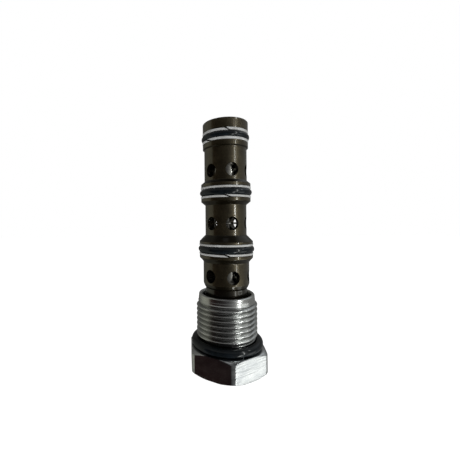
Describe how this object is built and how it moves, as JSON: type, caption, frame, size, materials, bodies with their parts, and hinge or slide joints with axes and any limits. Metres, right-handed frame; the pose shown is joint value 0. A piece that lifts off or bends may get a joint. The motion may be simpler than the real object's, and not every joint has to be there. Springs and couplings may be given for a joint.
{
  "type": "cartridge valve",
  "caption": "Screw-in hydraulic cartridge valve, a spool-type flow divider and combiner: hex adapter, ported sleeve with stepped seals, and hooked sprung spools inside.",
  "frame": {"origin": "centre of the hexagon's bottom face, on the valve's axis", "axes": "+Z along the valve's axis, from the hexagon to the nose; -Y through one corner of the hexagon"},
  "size_m": [0.032, 0.0358, 0.1089],
  "materials": {
    "zinc": "bright zinc plate over turned steel, lightly scratched",
    "oxide": "dark bronze-black oxide over ground steel, satin",
    "ground_steel": "hardened and ground, bright",
    "spring_steel": "drawn wire",
    "nitrile": "smooth black nitrile with a film of oil",
    "ptfe": "grey-white PTFE, slightly translucent"
  },
  "bodies": {
    "adapter": {"hex_adapter": "zinc", "adapter_o_ring": "nitrile", "sleeve_retaining_ring": "spring_steel"},
    "cage": {"sleeve": "oxide", "nose_o_ring": "nitrile", "middle_o_ring": "nitrile", "hex_o_ring": "nitrile", "nose_backup_upper": "ptfe", "nose_backup_lower": "ptfe", "middle_backup_upper": "ptfe", "middle_backup_lower": "ptfe", "hex_backup_upper": "ptfe", "hex_backup_lower": "ptfe", "nose_plug": "oxide", "nose_plug_o_ring": "nitrile", "nose_snap_ring": "spring_steel", "nose_spring": "spring_steel", "hex_spring": "spring_steel"},
    "hex_side_spool": {"hex_spool": "ground_steel", "hex_orifice": "ground_steel", "centre_spring": "spring_steel"},
    "nose_side_spool": {"nose_spool": "ground_steel", "nose_orifice": "ground_steel"}
  },
  "joints": [
    {"name": "sleeve_swivel", "type": "hinge", "parent": "adapter", "child": "cage", "pos_m": [0, 0, 0.0215], "axis": [0, 0, 1], "continuous": true},
    {"name": "hex_spool_slide", "type": "slide", "parent": "cage", "child": "hex_side_spool", "axis": [0, 0, 1], "range_m": [-0.0016, 0.0016], "stiffness_N_per_m": 3000, "deforming": ["hex_spring", "nose_spring"]},
    {"name": "nose_spool_slide", "type": "slide", "parent": "hex_side_spool", "child": "nose_side_spool", "axis": [0, 0, 1], "range_m": [-0.0012, 0], "stiffness_N_per_m": 800, "springref_m": 0.0015, "deforming": ["centre_spring"]}
  ]
}
